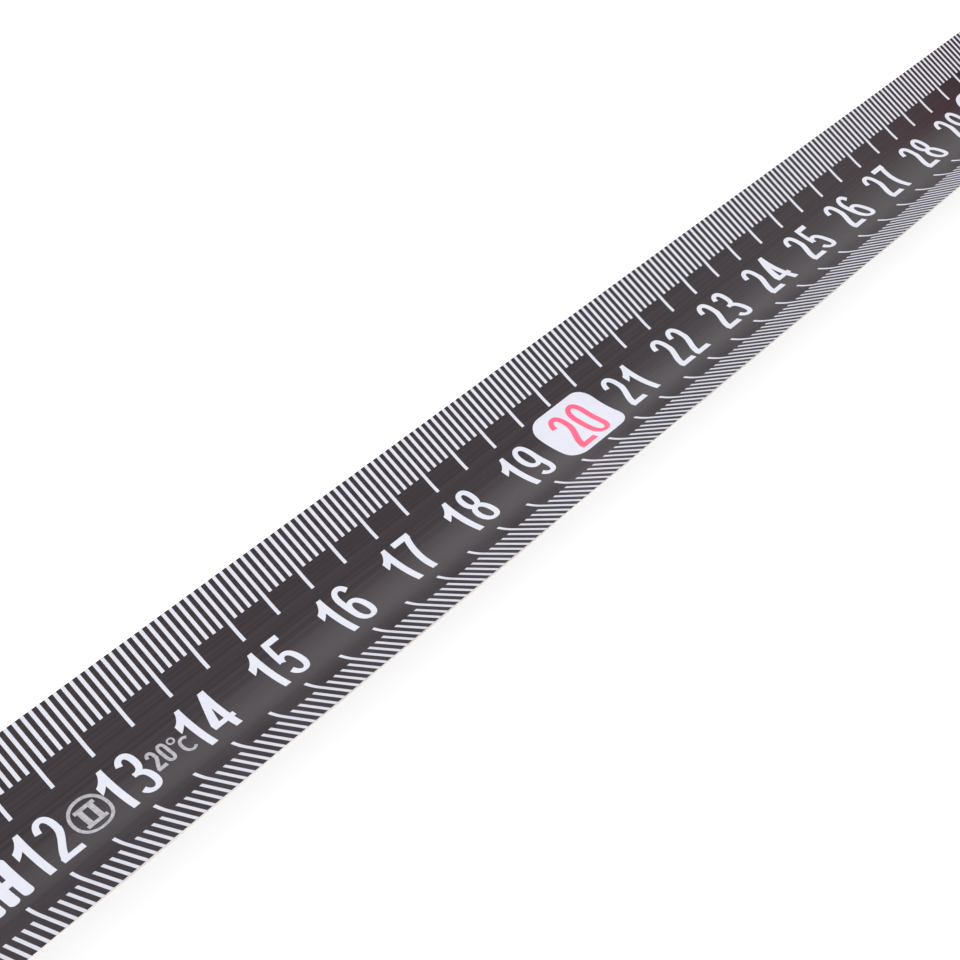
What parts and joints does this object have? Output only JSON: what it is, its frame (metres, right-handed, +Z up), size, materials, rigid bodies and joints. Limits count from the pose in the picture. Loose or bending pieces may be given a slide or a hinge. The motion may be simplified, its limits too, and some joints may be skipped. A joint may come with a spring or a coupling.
{
  "type": "tape measure",
  "caption": "Pocket tape measure: a curved printed steel blade drawn out of a rubber-gripped case, with a sliding end hook, thumb lock, spring reel and belt clip.",
  "frame": {"origin": "middle of the flat base that the case stands on, under the middle of the blade's width", "axes": "+X away from the blade's hook, towards the back of the case; +Z up; +Y towards the belt clip"},
  "size_m": [0.4227, 0.0438, 0.0737],
  "materials": {
    "case_plastic": "satin moulded plastic, red",
    "grip_rubber": "matt black rubber",
    "button_plastic": "black moulded plastic",
    "inner_plastic": "natural white plastic",
    "blade_coating": "satin charcoal coating on spring steel",
    "plated_steel": "zinc plated steel",
    "spring_steel": "blued spring steel",
    "clip_steel": "nickel plated spring steel",
    "screw_steel": "blackened steel",
    "badge_metal": "spun aluminium"
  },
  "bodies": {
    "case": {"case_left": "case_plastic", "case_right": "case_plastic", "grip_left": "grip_rubber", "grip_right": "grip_rubber", "mouth_bumper": "grip_rubber", "mouth_plate": "plated_steel", "brake_bed": "inner_plastic", "badge_disc": "badge_metal", "case_screws": "screw_steel", "lanyard_bush": "plated_steel", "arbor": "inner_plastic", "thrust_washer_left": "inner_plastic", "thrust_washer_right": "inner_plastic", "detent_spring": "spring_steel", "clip_base": "clip_steel", "clip_screw": "screw_steel"},
    "clip_leg": {"belt_clip": "clip_steel"},
    "reel": {"reel_cup": "inner_plastic", "reel_cover": "inner_plastic", "power_spring": "spring_steel", "blade_coil": "blade_coating"},
    "blade": {"blade_strip": "blade_coating", "hook_doubler": "plated_steel", "hook_rivets": "plated_steel"},
    "hook": {"end_hook": "plated_steel"},
    "lock": {"lock_button": "button_plastic", "lock_slide": "inner_plastic", "brake_pad": "grip_rubber"}
  },
  "joints": [
    {"name": "blade_slide", "type": "slide", "parent": "case", "child": "blade", "axis": [1, 0, 0], "range_m": [0, 0.3385], "deforming": ["blade_strip"]},
    {"name": "hook_play", "type": "slide", "parent": "blade", "child": "hook", "axis": [1, 0, 0], "range_m": [0, 0.001]},
    {"name": "reel_spin", "type": "hinge", "parent": "case", "child": "reel", "pos_m": [0.003, 0, 0.038], "axis": [0, -1, 0], "range_deg": [0, 670], "deforming": ["power_spring"]},
    {"name": "thumb_lock", "type": "slide", "parent": "case", "child": "lock", "axis": [0.3001, 0, 0.9539], "range_m": [0, 0.005]},
    {"name": "clip_flex", "type": "hinge", "parent": "case", "child": "clip_leg", "pos_m": [0.003, 0.02015, 0.058], "axis": [1, 0, 0], "range_deg": [0, 6], "stiffness_Nm_per_rad": 0.8}
  ],
  "couplings": [
    {"joint": "reel_spin", "follows": "blade_slide", "rad_per_m": 34.483}
  ]
}
